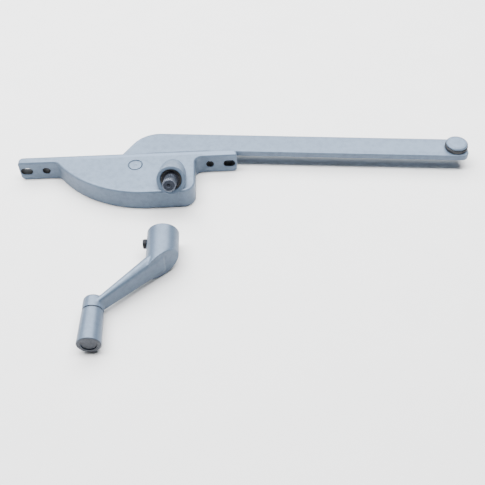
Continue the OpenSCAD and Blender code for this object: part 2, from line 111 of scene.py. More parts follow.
class OperatorSizes(bpy.types.PropertyGroup):
    """Sizes of the edges and details that the frame does not set."""
    wall: length("Wall", "Thickness of the housing's side walls", 2.4)
    front_arc: length("Front arc", "Radius of the long curved front wall", 83.5)
    arc_end: length("Arc end", "Distance from the pivot to the end of the curve", 10)
    corner: length("Corner", "Radius of the front right corner", 9.5)
    fillet: length("Fillet", "Radius between the body and the ears", 5.5)
    ear: length("Ear", "Thickness of the screw ears", 6.6)
    ear_end: length("Ear end", "Radius of the ears' ends", 3.4)
    hole: length("Hole", "Radius of the screw holes", 2.9)
    hole_lip: length("Hole lip", "Rounding at the mouth of a screw hole", 0.45)
    casting_edge: length("Casting edge", "Rounding along the top of the housing", 1.6)
    arm_edge: length("Arm edge", "Rounding along the top of the arm", 0.7)
    boss: length("Boss", "Radius of the tilted shaft boss", 10.4)
    recess: length("Recess", "Radius of the recess in the boss", 7.7)
    shaft: length("Shaft", "Radius of the crank shaft", 4.75)
    spline: length("Spline", "Depth of the spline's teeth", 0.5)
    handle_grain: length("Handle grain", "Voxel size of the handle's cast shape", 0.4)


class OperatorColours(bpy.types.PropertyGroup):
    """Colours of the finishes."""
    casting: tone("Casting", "Paint of the housing", (0.097, 0.135, 0.192))
    arm: tone("Arm", "Paint of the arm and its stud", (0.095, 0.132, 0.188))
    handle: tone("Handle", "Paint of the crank handle", (0.084, 0.118, 0.17))
    shaft: tone("Shaft", "Oiled steel of the crank shaft", (0.10, 0.115, 0.15))
    zinc: tone("Zinc", "Plated steel of the hidden parts", (0.55, 0.56, 0.58))
    bronze: tone("Bronze", "Sintered bushings", (0.20, 0.19, 0.18))
    black: tone("Black", "Nylon and black oxide", (0.012, 0.013, 0.016))


def size(name):
    return getattr(bpy.context.scene.operator_sizes, name) / MM


def colour(name):
    return tuple(getattr(bpy.context.scene.operator_colours, name))


# ---------------------------------------------------------------- outlines

def polar(radius, degrees):
    return Vector((radius * math.cos(math.radians(degrees)), radius * math.sin(math.radians(degrees))))


def arc(centre, radius, start, end, step=6):
    """Points along an arc, from one angle to the other in degrees."""
    count = max(2, math.ceil(abs(end - start) / step))
    return [Vector(centre) + polar(radius, start + (end - start) * i / count) for i in range(count + 1)]


def angle_of(vector):
    return math.degrees(math.atan2(vector.y, vector.x))


def inset(points, distance):
    """The closed outline moved in by a distance, with mitred corners."""
    moved = []
    for i, point in enumerate(points):
        before = (point - points[i - 1]).normalized()
        after = (points[(i + 1) % len(points)] - point).normalized()
        normal = Vector((-before.y - after.y, before.x + after.x)).normalized()
        along = max(0.35, normal.dot(Vector((-before.y, before.x))))
        moved.append(point + normal * distance / along)
    return moved


def body_outline(margin=0.0, left=None, back=0.0, ears=True):
    """Plan of the housing; without ears it is the inner outline of the cavity."""
    depth, ear, fillet = BODY_DEPTH, size("ear"), size("fillet")
    big, corner = size("front_arc"), size("corner")
    middle = Vector((size("arc_end"), big - depth))
    right = node_span("base_plate")[1].x + BASE_CLEAR
    if not ears:
        reach = big - margin
        cut_left = Vector((-left, -math.sqrt(reach ** 2 - (left + middle.x) ** 2) + middle.y))
        points = [Vector((-left, -back)), cut_left]
        points += arc(middle, reach, angle_of(cut_left - middle), -90, 2)[1:]
        inner = corner - margin
        points += arc((right - corner, -depth + corner), inner, -90, 0)
        points += [Vector((right - margin, -back))]
        return points
    dy = middle.y + ear
    start = Vector((middle.x - math.sqrt((big + fillet) ** 2 - (dy + fillet) ** 2), -ear - fillet))
    lean = angle_of(start - middle)
    r = size("ear_end")
    points = [Vector((HOUSING_LOW.x, -ear))]
    points += arc(start, fillet, 90, lean + 180)
    points += arc(middle, big, lean, -90, 2)[1:]
    points += arc((right - corner, -depth + corner), corner, -90, 0)
    points += arc((right + fillet, -ear - fillet), fillet, 180, 90)
    points += [Vector((HOUSING_HIGH.x, -ear))]
    points += arc((HOUSING_HIGH.x - r, -r), r, 0, 90)
    points += arc((HOUSING_LOW.x + r, -r), r, 90, 180)
    return points


# ---------------------------------------------------------------- meshes

def place_object(name, data):
    """Puts a mesh, light or camera into the scene as an object."""
    holder = bpy.data.objects.new(name, data)
    bpy.context.scene.collection.objects.link(holder)
    return holder


def mesh_object(name, work):
    """Turns a bmesh into an object and frees it."""
    mesh = bpy.data.meshes.new(name)
    work.to_mesh(mesh)
    work.free()
    return place_object(name, mesh)


def new_piece(name, verts, faces):
    """An object from points in millimetres."""
    mesh = bpy.data.meshes.new(name)
    mesh.from_pydata([Vector(v) * MM for v in verts], [], faces)
    mesh.validate()
    piece = place_object(name, mesh)
    face_outward(piece)
    return piece


def face_outward(piece):
    work = bmesh.new()
    work.from_mesh(piece.data)
    bmesh.ops.remove_doubles(work, verts=work.verts, dist=1e-7)
    bmesh.ops.recalc_face_normals(work, faces=work.faces)
    work.to_mesh(piece.data)
    work.free()


def loft(name, rings):
    """A closed skin through rings that all have the same number of points."""
    count = len(rings[0])
    verts = [point for ring in rings for point in ring]
    faces = []
    for i in range(len(rings) - 1):
        for j in range(count):
            k = (j + 1) % count
            faces.append((i * count + j, i * count + k, (i + 1) * count + k, (i + 1) * count + j))
    faces.append(tuple(reversed(range(count))))
    faces.append(tuple(range((len(rings) - 1) * count, len(rings) * count)))
    return new_piece(name, verts, faces)


def rounded_slab(name, outline, low, high, top_edge, under_edge=0.3, steps=5):
    """An outline made solid between two heights, with rounded top and bottom edges."""
    support = 0.06
    rings = []

    def ring(amount, z):
        rings.append([Vector((p.x, p.y, z)) for p in inset(outline, amount)])

    ring(under_edge + support, low)
    for i in range(steps + 1):
        turn = math.pi / 2 * (1 - i / steps)
        ring(under_edge * (1 - math.cos(turn)), low + under_edge * (1 - math.sin(turn)))
    for i in range(steps + 1):
        turn = math.pi / 2 * i / steps
        ring(top_edge * (1 - math.cos(turn)), high - top_edge * (1 - math.sin(turn)))
    ring(top_edge + support, high)
    return loft(name, rings)


def soft_profile(corners, steps=5):
    """A profile whose corners (r, z, rounding) become short arcs."""
    points = []
    for i, (r, z, rounding) in enumerate(corners):
        here = Vector((r, z))
        if rounding == 0 or i in (0, len(corners) - 1):
            points.append(here)
            continue
        before = (Vector(corners[i - 1][:2]) - here)
        after = (Vector(corners[i + 1][:2]) - here)
        half = before.angle(after) / 2
        reach = min(rounding / math.tan(half), before.length * 0.49, after.length * 0.49)
        a, b = here + before.normalized() * reach, here + after.normalized() * reach
        for k in range(steps + 1):
            t = k / steps
            points.append(a * (1 - t) ** 2 + here * 2 * t * (1 - t) + b * t ** 2)
    return points


def lathe(name, corners, place, segments=96):
    """A turned piece: the profile spun round the Z axis of the place matrix."""
    profile = soft_profile(corners)
    rings = []
    for point in profile:
        r = max(point.x, 0.002)
        rings.append([place @ Vector((r * math.cos(math.tau * j / segments),
                                      r * math.sin(math.tau * j / segments), point.y))
                      for j in range(segments)])
    return loft(name, rings)


def tube(name, corners, place, segments=96):
    """A turned piece with a bore: the profile is a closed loop."""
    profile = soft_profile(corners + [corners[0]])[:-1]
    verts, faces, count = [], [], len(profile)
    for j in range(segments):
        turn = math.tau * j / segments
        verts += [place @ Vector((p.x * math.cos(turn), p.x * math.sin(turn), p.y)) for p in profile]
    for j in range(segments):
        for i in range(count):
            a, b = j * count, (j + 1) % segments * count
            k = (i + 1) % count
            faces.append((a + i, a + k, b + k, b + i))
    return new_piece(name, verts, faces)


def upright(x, y, z):
    return Matrix.Translation((x, y, z))


def facing(place, direction):
    """A matrix at a place whose Z axis points along a direction."""
    return Matrix.Translation(place) @ Vector(direction).to_track_quat("Z", "Y").to_matrix().to_4x4()


def plain_slab(name, outline, low, high):
    return loft(name, [[Vector((p.x, p.y, z)) for p in outline] for z in (low, high)])


def block(name, low, high):
    """A box between two opposite corners."""
    outline = [Vector((low[0], low[1])), Vector((high[0], low[1])), Vector((high[0], high[1])),
               Vector((low[0], high[1]))]
    return plain_slab(name, outline, low[2], high[2])


def carve(piece, tools, operation="DIFFERENCE"):
    """Cuts, joins or intersects the piece with each tool and throws the tools away."""
    for tool in tools:
        change = piece.modifiers.new("carve", "BOOLEAN")
        change.operation = operation
        change.solver = "MANIFOLD"
        change.object = tool
        bake(piece)
        bpy.data.objects.remove(tool)
    return piece


def bake(piece):
    """Makes the piece's modifiers part of its mesh."""
    graph = bpy.context.evaluated_depsgraph_get()
    mesh = bpy.data.meshes.new_from_object(piece.evaluated_get(graph))
    piece.modifiers.clear()
    old, piece.data = piece.data, mesh
    name = old.name
    bpy.data.meshes.remove(old)
    mesh.name = name


def finish_piece(piece, material, body, nodes=(), crease=25):
    """Shading, material and place in the frame."""
    piece.data.materials.clear()
    piece.data.materials.append(material)
    for face in piece.data.polygons:
        face.use_smooth = True
    piece.data.set_sharp_from_angle(angle=math.radians(crease))
    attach(piece, body)
    if nodes:
        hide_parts(*nodes)
    return piece


# ---------------------------------------------------------------- materials

class Graph:
    """Short names for building a material's nodes."""

    def __init__(self, name):
        self.material = bpy.data.materials.new(name)
        self.material.use_nodes = True
        self.tree = self.material.node_tree
        self.shader = next(n for n in self.tree.nodes if n.type == "BSDF_PRINCIPLED")
        self.place = self.add("ShaderNodeTexCoord").outputs["Object"]

    def add(self, kind, **values):
        node = self.tree.nodes.new(kind)
        for key, value in values.items():
            setattr(node, key, value)
        return node

    def link(self, output, target):
        self.tree.links.new(output, target)

    def noise(self, scale, detail=3.0, rough=0.5, stretch=None):
        node = self.add("ShaderNodeTexNoise")
        node.inputs["Scale"].default_value = scale
        node.inputs["Detail"].default_value = detail
        node.inputs["Roughness"].default_value = rough
        source = self.place
        if stretch:
            mapping = self.add("ShaderNodeMapping")
            mapping.inputs["Scale"].default_value = stretch
            self.link(source, mapping.inputs["Vector"])
            source = mapping.outputs["Vector"]
        self.link(source, node.inputs["Vector"])
        return node.outputs["Fac"]

    def spread(self, source, low, high, start=0.3, end=0.7):
        node = self.add("ShaderNodeMapRange")
        self.link(source, node.inputs["Value"])
        for key, value in (("From Min", start), ("From Max", end), ("To Min", low), ("To Max", high)):
            node.inputs[key].default_value = value
        return node.outputs["Result"]

    def blend(self, factor, first, second, mode="MIX"):
        node = self.add("ShaderNodeMix", data_type="RGBA", blend_type=mode)
        if isinstance(factor, float):
            node.inputs[0].default_value = factor
        else:
            self.link(factor, node.inputs[0])
        for index, value in ((6, first), (7, second)):
            if isinstance(value, tuple):
                node.inputs[index].default_value = (*value, 1.0)
            else:
                self.link(value, node.inputs[index])
        return node.outputs[2]

    def edges(self, low, high):
        """One along convex edges, from how sharply the surface turns."""
        pointy = self.add("ShaderNodeNewGeometry").outputs["Pointiness"]
        return self.spread(pointy, 0.0, 1.0, low, high)

    def bump(self, sources):
        """Chains height maps (source, strength, depth in millimetres) into the shader's normal."""
        normal = None
        for source, strength, depth in sources:
            node = self.add("ShaderNodeBump")
            node.inputs["Strength"].default_value = strength
            node.inputs["Distance"].default_value = depth * MM
            self.link(source, node.inputs["Height"])
            if normal:
                self.link(normal, node.inputs["Normal"])
            normal = node.outputs["Normal"]
        self.link(normal, self.shader.inputs["Normal"])

    def surface(self, base, roughness, metallic, **fixed):
        self.link(base, self.shader.inputs["Base Color"])
        self.link(roughness, self.shader.inputs["Roughness"])
        self.shader.inputs["Metallic"].default_value = metallic
        for key, value in fixed.items():
            self.shader.inputs[key.replace("_", " ")].default_value = value
        return self.material


def shade(rgb, amount):
    return tuple(min(1.0, channel * amount) for channel in rgb)


def sprayed_paint(name, rgb, metallic=0.35, rough=0.45):
    """Satin metallic paint sprayed on a die casting: flakes, orange peel and faint clouding."""
    g = Graph(name)
    clouds = g.noise(55, 4.0, 0.6)
    flakes = g.noise(1900, 2.0, 0.7)
    peel = g.noise(620, 2.0, 0.5)
    grain = g.noise(260, 4.0, 0.65)
    base = g.blend(g.spread(clouds, 0.0, 1.0), shade(rgb, 0.94), shade(rgb, 1.05))
    base = g.blend(g.spread(flakes, 0.0, 0.75, 0.35, 0.7), base, shade(rgb, 1.22))
    base = g.blend(g.spread(grain, 0.0, 0.5, 0.45, 0.7), base, shade(rgb, 0.80))
    base = g.blend(g.edges(0.52, 0.62), base, shade(rgb, 1.3))
    roughness = g.spread(grain, rough - 0.05, rough + 0.08)
    g.bump([(peel, 0.22, 0.05), (grain, 0.25, 0.08), (flakes, 0.15, 0.015)])
    return g.surface(base, roughness, metallic, Specular_IOR_Level=0.4, Coat_Weight=0.05,
                     Coat_Roughness=0.3)


def oiled_steel(name, rgb, rough=0.34, along=(1, 1, 1)):
    """Machined steel with a film of oil: fine turning marks and dark smears."""
    g = Graph(name)
    marks = g.noise(900, 3.0, 0.6, along)
    smears = g.noise(180, 3.0, 0.55)
    base = g.blend(g.spread(marks, 0.0, 1.0), shade(rgb, 0.8), shade(rgb, 1.35))
    base = g.blend(g.spread(smears, 0.0, 0.7), base, shade(rgb, 0.5))
    base = g.blend(g.edges(0.53, 0.66), base, shade(rgb, 2.4))
    g.bump([(marks, 0.2, 0.02), (smears, 0.1, 0.03)])
    return g.surface(base, g.spread(smears, rough - 0.06, rough + 0.12), 0.9)


def zinc_plate(name, rgb):
    """Bright zinc plating with a soft spangle and scuffs."""
    g = Graph(name)
    cells = g.add("ShaderNodeTexVoronoi")
    cells.inputs["Scale"].default_value = 420
    g.link(g.place, cells.inputs["Vector"])
    scuffs = g.noise(700, 4.0, 0.7, (1, 8, 1))
    spangle = g.spread(cells.outputs["Distance"], 0.0, 1.0, 0.0, 0.6)
    base = g.blend(spangle, shade(rgb, 1.08), shade(rgb, 0.86))
    base = g.blend(g.spread(scuffs, 0.0, 0.5), base, shade(rgb, 0.72))
    g.bump([(scuffs, 0.15, 0.02)])
    return g.surface(base, g.spread(scuffs, 0.3, 0.48), 0.95)


def sintered_bronze(name, rgb):
    """Oil-filled sintered metal: dull and finely pitted."""
    g = Graph(name)
    pits = g.noise(1500, 3.0, 0.7)
    stains = g.noise(200, 3.0, 0.5)
    base = g.blend(g.spread(pits, 0.0, 1.0), shade(rgb, 0.6), shade(rgb, 1.2))
    base = g.blend(g.spread(stains, 0.0, 0.6), base, shade(rgb, 0.7))
    g.bump([(pits, 0.35, 0.03)])
    return g.surface(base, g.spread(stains, 0.42, 0.6), 0.8)


def black_part(name, rgb, metallic=0.0, rough=0.45, worn=True):
    """Moulded nylon or black oxide: a faint grain and worn edges."""
    g = Graph(name)
    grain = g.noise(1300, 3.0, 0.6)
    wear = g.noise(160, 4.0, 0.6)
    base = g.blend(g.spread(grain, 0.0, 1.0), shade(rgb, 0.7), shade(rgb, 1.5))
    base = g.blend(g.spread(wear, 0.0, 0.4, 0.5, 0.8), base, shade(rgb, 2.6))
    if worn:
        base = g.blend(g.edges(0.54, 0.68), base, shade(rgb, 4.5))
    g.bump([(grain, 0.2, 0.02)])
    return g.surface(base, g.spread(wear, rough - 0.06, rough + 0.1), metallic)


def pale_floor(name):
    """Matt white sweep with hardly any tone of its own."""
    g = Graph(name)
    fibre = g.noise(35, 3.0, 0.5)
    base = g.blend(g.spread(fibre, 0.0, 1.0), (0.72, 0.723, 0.726), (0.74, 0.742, 0.744))
    return g.surface(base, g.spread(fibre, 0.75, 0.85), 0.0)


MADE = {}


def material(name):
    """Each finish is made once and shared by its pieces."""
    makers = {
        "casting_paint": lambda n: sprayed_paint(n, colour("casting")),
        "arm_paint": lambda n: sprayed_paint(n, colour("arm")),
        "handle_paint": lambda n: sprayed_paint(n, colour("handle"), rough=0.42),
        "knob_paint": lambda n: sprayed_paint(n, shade(colour("handle"), 0.96), rough=0.42),
        "shaft_steel": lambda n: oiled_steel(n, colour("shaft")),
        "gear_steel": lambda n: oiled_steel(n, shade(colour("zinc"), 0.7), 0.4),
        "zinc": lambda n: zinc_plate(n, colour("zinc")),
        # Near-black matt finish for the screw holes' walls: painted shade standing in for the shadow inside the
        # holes
        "raw_bore": lambda n: black_part(n, shade(colour("shaft"), 0.12), rough=0.8, worn=False),
        "knob_end": lambda n: black_part(n, shade(colour("shaft"), 0.4), rough=0.6, worn=False),
        "bronze": lambda n: sintered_bronze(n, colour("bronze")),
        "black_nylon": lambda n: black_part(n, colour("black")),
        "black_oxide": lambda n: black_part(n, colour("black"), 0.5, 0.4),
        "floor": pale_floor,
    }
    if name not in MADE:
        MADE[name] = makers[name](name)
    return MADE[name]


# ---------------------------------------------------------------- housing

BOSS_LENGTH = 17.5
BUSHING_SEAT_R = 6.5
WORM_POCKET_R = 5.0
WORM_POCKET_END = 34.5
HUB_ROOM_R = 19.1
ARM_SLOT_LEFT = 42.3
RELIEF_DEPTH = 0.4
RELIEF_FROM_HOLE = 1.5


def screw_hole(x, z, run):
    """A cutter for one screw hole, flared at its front and drawn out sideways by run."""
    r, lip, ear = size("hole"), size("hole_lip"), size("ear")
    place = facing((0, -ear, z), (0, 1, 0))
    outline = arc((run / 2, 0), r, -90, 90, 10) + arc((-run / 2, 0), r, 90, 270, 10)
    depths = [(lip, -1.0), (lip, -0.001), (lip * 0.4, lip * 0.3), (0.0, lip), (0.0, ear + 1)]
    rings = []
    for out, depth in depths:
        grown = inset(outline, -out)
        rings.append([place @ Vector((p.x, p.y, depth)) + Vector((x, 0, 0)) for p in grown])
    return loft("cutter", rings)


def shaft_place(inward):
    """A place on the shaft, the given distance inward from the boss's rim, Z pointing inward."""
    return facing(SHAFT + SHAFT_IN * inward, SHAFT_IN)


def rod(radius, place, start, end):
    """A plain cylinder between two distances along the place's Z axis."""
    return lathe("tool", [(0, start, 0), (radius, start, 0), (radius, end, 0), (0, end, 0)], place)


def make_housing():
    edge = size("casting_edge")
    shell = rounded_slab("housing_casting", body_outline(), 0, TOP_Z, edge, 0.35)
    r = size("ear_end")
    low, high = HOUSING_LOW.x, HOUSING_HIGH.x
    ends = [Vector((low, TOP_Z + 1))] + arc((low + r, r), r, 180, 270) + arc((high - r, r), r, 270, 360)
    ends += [Vector((high, TOP_Z + 1))]
    carve(shell, [loft("ends", [[Vector((p.x, y, p.y)) for p in ends] for y in (-BODY_DEPTH - 1, 1)])],
          "INTERSECT")
    wall = size("wall")
    cavity = body_outline(wall, CAVITY_LEFT, wall, ears=False)
    carve(shell, [plain_slab("cavity", cavity, -1, TOP_UNDER)])
    boss_r, recess = size("boss"), size("recess")
    boss_end = 2 * BOSS_LENGTH
    boss = lathe("boss", [(0, 0, 0), (boss_r, 0, 0.9), (boss_r, boss_end, 0), (0, boss_end, 0)],
                 shaft_place(0))
    carve(boss, [block("inside", (SHAFT.x - 20, wall - BODY_DEPTH, -30), (SHAFT.x + 20, 40, TOP_UNDER))])
    stub = rod(boss_r - 0.6, shaft_place(0), 0.6, BOSS_LENGTH)
    carve(shell, [boss, stub], "UNION")
    gear_high = node_span("gear_sector")[1].z
    gear_low = node_span("gear_sector")[0].z - ARM_GAP
    gear_r = node_span("gear_sector")[1].x + 0.9
    slot_half = math.sqrt(gear_r ** 2 - (-PIVOT.y - wall) ** 2)
    pivot = upright(PIVOT.x, PIVOT.y, 0)
    carve(shell, [
        lathe("recess", [(0, -3, 0), (recess + 0.5, -3, 0), (recess + 0.5, -0.01, 0), (recess, 0.5, 0.3),
                         (recess, 4, 0), (0, 4, 0)], shaft_place(0)),
        rod(BUSHING_SEAT_R, shaft_place(0), 3, BOSS_LENGTH + 1),
        rod(WORM_POCKET_R, shaft_place(0), BOSS_LENGTH, WORM_POCKET_END),
        rod(gear_r, pivot, gear_low, gear_high + ARM_GAP),
        rod(HUB_ROOM_R, pivot, ARM_LOW.z - ARM_GAP, TOP_UNDER + 0.02),
        lathe("pin_bore", [(0, TOP_UNDER - 1, 0), (PIN_BORE_R, TOP_UNDER - 1, 0),
                           (PIN_BORE_R, TOP_Z - 0.9, 0), (5.4, TOP_Z - 0.7, 0), (5.6, TOP_Z + 0.02, 0),
                           (5.6, TOP_Z + 1, 0), (0, TOP_Z + 1, 0)], pivot),
        block("arm_slot", (-ARM_SLOT_LEFT, -wall - 0.01, ARM_LOW.z - ARM_GAP), (slot_half, 1, TOP_UNDER)),
        block("gear_slot", (-slot_half, -wall - 0.01, gear_low), (slot_half, 1, ARM_LOW.z)),
    ])
    holes = frame_mounts("inner_holes", "outer_slots")
    inner = holes[0]
    inner_x = inner["pos_m"][0] / MM + inner["dims"]["spacing_x_mm"] / 2
    relief_x = inner_x + size("hole") + RELIEF_FROM_HOLE
    carve(shell, [block("arm_relief", (relief_x, -RELIEF_DEPTH, ARM_LOW.z - ARM_GAP),
                        (HOUSING_HIGH.x + 1, 1, ARM_HIGH.z + ARM_GAP))])
    cutters, bores = [], []
    for mount in holes:
        run = mount["dims"].get("slot_length_mm", 2 * size("hole")) - 2 * size("hole")
        half = mount["dims"]["spacing_x_mm"] / 2
        centre = Vector(mount["pos_m"]) / MM
        for x in (centre.x - half, centre.x + half):
            cutters.append(screw_hole(x, centre.z, run))
            bores.append((x, centre.z, run))
    carve(shell, cutters)
    finish_piece(shell, material("casting_paint"), "housing", ["housing"])
    # The screw holes' inner walls get the near-black finish: painted shade where the holes fall into shadow
    shell.data.materials.append(material("raw_bore"))
    for face in shell.data.polygons:
        spot = face.center / MM
        for x, z, run in bores:
            off = math.hypot(max(0.0, abs(spot.x - x) - run / 2), spot.z - z)
            if off < size("hole") + 0.05 and abs(face.normal.y) < 0.5:
                face.material_index = 1


def frame_mounts(*names):
    return [mount for mount in frame["record"]["mounts"] if mount["name"] in names]


def make_pivot_head():
    top = TOP_Z - 0.12
    corners = [(0, 0, 0), (3, 0, 0), (3, 1.2, 0), (4.2, 1.2, 0), (4.2, TOP_UNDER, 0), (4.9, TOP_UNDER, 0),
               (4.9, top - 1.3, 0), (4.6, top - 1.1, 0), (4.6, top, 0.3), (1.1, top, 0.3),
               (0.6, top - 0.35, 0.2), (0, top - 0.4, 0)]
    head = lathe("pivot_pin_head", corners, upright(PIVOT.x, PIVOT.y, 0))
    finish_piece(head, material("casting_paint"), "housing", ["pivot_pin"])


# ---------------------------------------------------------------- arm

ARM_ANGLE = -5.3
ARM_WIDTH = 19.35
ARM_BACK = 40.3
ARM_END = 248.0
NECK_ANGLE = 62.3
BEND_R = 23.0
HUB_R = 18.1
TIP_R = 5.0
WEB_X = 50.0
WEB_CLEAR = 2.7
RIVET_CIRCLE_R = 11.5
RIVET_R = 2.0


def arm_outline():
    """Plan of the arm in a frame that lies along it, with the pivot at the origin."""
    left = polar(1, NECK_ANGLE + 90)
    bend_y = ARM_BACK - BEND_R
    bend_x = (bend_y * left.y + BEND_R - HUB_R) / -left.x
    front = ARM_BACK - ARM_WIDTH
    web_r = -PIVOT.y + WEB_CLEAR
    web_angle = math.degrees(math.atan2(front, WEB_X) + math.acos(web_r / math.hypot(front, WEB_X)))
    meets_hub = web_angle - math.degrees(math.acos(web_r / HUB_R))
    points = arc((0, 0), HUB_R, NECK_ANGLE + 90, meets_hub + 360)
    points += [Vector((WEB_X, front))]
    points += arc((ARM_END - TIP_R, front + TIP_R), TIP_R, -90, 0)
    points += arc((ARM_END - TIP_R, ARM_BACK - TIP_R), TIP_R, 0, 90)
    points += arc((bend_x, bend_y), BEND_R, 90, NECK_ANGLE + 90, 3)
    return points


def arm_place(z=0.0):
    return Matrix.Translation((PIVOT.x, PIVOT.y, z)) @ Matrix.Rotation(math.radians(ARM_ANGLE), 4, "Z")


def make_arm():
    slab = rounded_slab("swing_arm", arm_outline(), ARM_LOW.z, ARM_HIGH.z, size("arm_edge"), 0.4)
    place = arm_place()
    slab.data.transform(Matrix.Translation(place.translation * MM) @ place.to_3x3().to_4x4())
    cutters = [rod(ARM_BORE_R, upright(PIVOT.x, PIVOT.y, 0), ARM_LOW.z - 1, ARM_HIGH.z + 1)]
    for degrees in (30, 150, 270):
        spot = place @ Vector((*polar(RIVET_CIRCLE_R, degrees), 0))
        cutters.append(rod(RIVET_R, upright(spot.x, spot.y, 0), ARM_LOW.z - 1, ARM_HIGH.z + 1))
    cutters.append(rod(GUIDE_PIN_R, upright(GUIDE.x, GUIDE.y, 0), ARM_LOW.z - 1, ARM_HIGH.z + 1))
    carve(slab, cutters)
    finish_piece(slab, material("arm_paint"), "arm", ["arm"])


def make_guide():
    low, high = node_span("guide_stud")
    radius = (high.x - low.x) / 2
    head = node_span("guide_roller")[1].z + 0.15
    under = low.z
    corners = [(0, under - 0.25, 0), (2.2, under - 0.25, 0.2), (GUIDE_PIN_R, under + 0.3, 0.2),
               (GUIDE_PIN_R, head, 0),
               (radius - 0.3, head, 0.2), (radius, head + 0.5, 0.3), (radius, high.z - 0.75, 0.35),
               (radius - 0.9, high.z - 0.1, 0.5), (radius - 2.6, high.z, 1.0), (0, high.z + 0.05, 0)]
    cap = lathe("guide_stud_cap", corners, upright(GUIDE.x, GUIDE.y, 0), 128)
    finish_piece(cap, material("arm_paint"), "arm", ["guide_stud"])
    low, high = node_span("guide_roller")
    radius = (high.x - low.x) / 2
    corners = [(3.15, low.z, 0), (radius - 0.5, low.z, 0.3), (radius, low.z + 0.4, 0.3),
               (radius, high.z - 0.5, 0.3), (radius - 0.5, high.z, 0.3), (3.15, high.z, 0)]
    wheel = tube("guide_roller_wheel", corners, upright(GUIDE.x, GUIDE.y, 0))
    finish_piece(wheel, material("black_nylon"), "guide_roller", ["guide_roller"])


# ---------------------------------------------------------------- crank shaft

SPLINE_TEETH = 20
WORM_START, WORM_END = 21.84, 32.54
WORM_PITCH = 3.7494
WORM_LAG = 20
SHAFT_OUTER_END = -18.8
SHAFT_ROOT_R = 3.1


def smooth_step(low, high, value):
    t = min(1.0, max(0.0, (value - low) / (high - low)))
    return t * t * (3 - 2 * t)


def shaft_radius(s, turn):
    """Radius of the crank shaft at s inward from the rim and an angle round it."""
    full, depth = size("shaft"), size("spline")
    if s <= -2.0:
        wave = 0.5 - 0.5 * max(-1.0, min(1.0, 1.5 * math.cos(SPLINE_TEETH * turn)))
        run_out = 1 - smooth_step(-3.2, -2.2, s)
        chamfer = 0.75 * (1 - smooth_step(SHAFT_OUTER_END, SHAFT_OUTER_END + 0.8, s))
        return full - depth * wave * run_out - chamfer
    if s < 18.2:
        groove = 0.55 if 2.0 < s < 3.0 else 0.0
        return full - groove
    if s < WORM_START or s > WORM_END:
        return SHAFT_ROOT_R
    phase = math.degrees(turn) + 360 * (s - MESH) / WORM_PITCH - WORM_LAG
    off = abs((phase + 180) % 360 - 180)
    return SHAFT_ROOT_R + 1.5 * (1 - smooth_step(70, 112, off))


def make_crank_shaft():
    stations = [SHAFT_OUTER_END, -18.6, -18.3, -18.0, -17.6, -16, -14, -12, -10, -8, -6, -4.5, -3.2, -2.9,
                -2.6, -2.4, -2.2, -1.6, 0, 1.99, 2.01, 2.99, 3.01, 10, 18.15, 18.25, WORM_START - 0.01]
    steps = 72
    stations += [WORM_START + (WORM_END - WORM_START) * i / steps for i in range(steps + 1)]
    stations += [WORM_END + 0.01, 34.1, 34.44]
    segments = 160
    across = Vector((1, 0, 0))
    up = SHAFT_IN.cross(across)
    rings = []
    for s in stations:
        centre = SHAFT + SHAFT_IN * s
        ring = []
        for j in range(segments):
            turn = math.tau * j / segments
            r = shaft_radius(s, turn)
            ring.append(centre + across * r * math.cos(turn) + up * r * math.sin(turn))
        rings.append(ring)
    end = SHAFT + SHAFT_IN * SHAFT_OUTER_END
    outer = [point.lerp(end, 0.62) for point in rings[0]]
    dimple = [point.lerp(end, 0.74) + SHAFT_IN * 0.6 for point in rings[0]]
    shaft = loft("crank_shaft", [dimple, outer] + rings)
    finish_piece(shaft, material("shaft_steel"), "crank_shaft", ["crank_shaft", "worm"], 30)


# ---------------------------------------------------------------- handle

FACE_V = 18.8
FACE_SLOPE = 38.0
WEB_INSET = 12
SET_SCREW_V = 8.4
SET_SCREW_BORE_R = 3.55
COLLAR_R = 6.9
COLLAR_V = (51.1, 60.3)


def wrapped(name, centres):
    """The convex skin round a set of balls (centre, radius)."""
    work = bmesh.new()
    rows, columns = 16, 24
    for centre, radius in centres:
        for i in range(1, rows):
            for j in range(columns):
                tilt, turn = math.pi * i / rows, math.tau * j / columns
                offset = Vector((math.sin(tilt) * math.cos(turn), math.sin(tilt) * math.sin(turn),
                                 math.cos(tilt)))
                work.verts.new((centre + offset * radius) * MM)
    bmesh.ops.convex_hull(work, input=work.verts)
    bmesh.ops.delete(work, geom=[v for v in work.verts if not v.link_faces], context="VERTS")
    piece = mesh_object(name, work)
    face_outward(piece)
    return piece


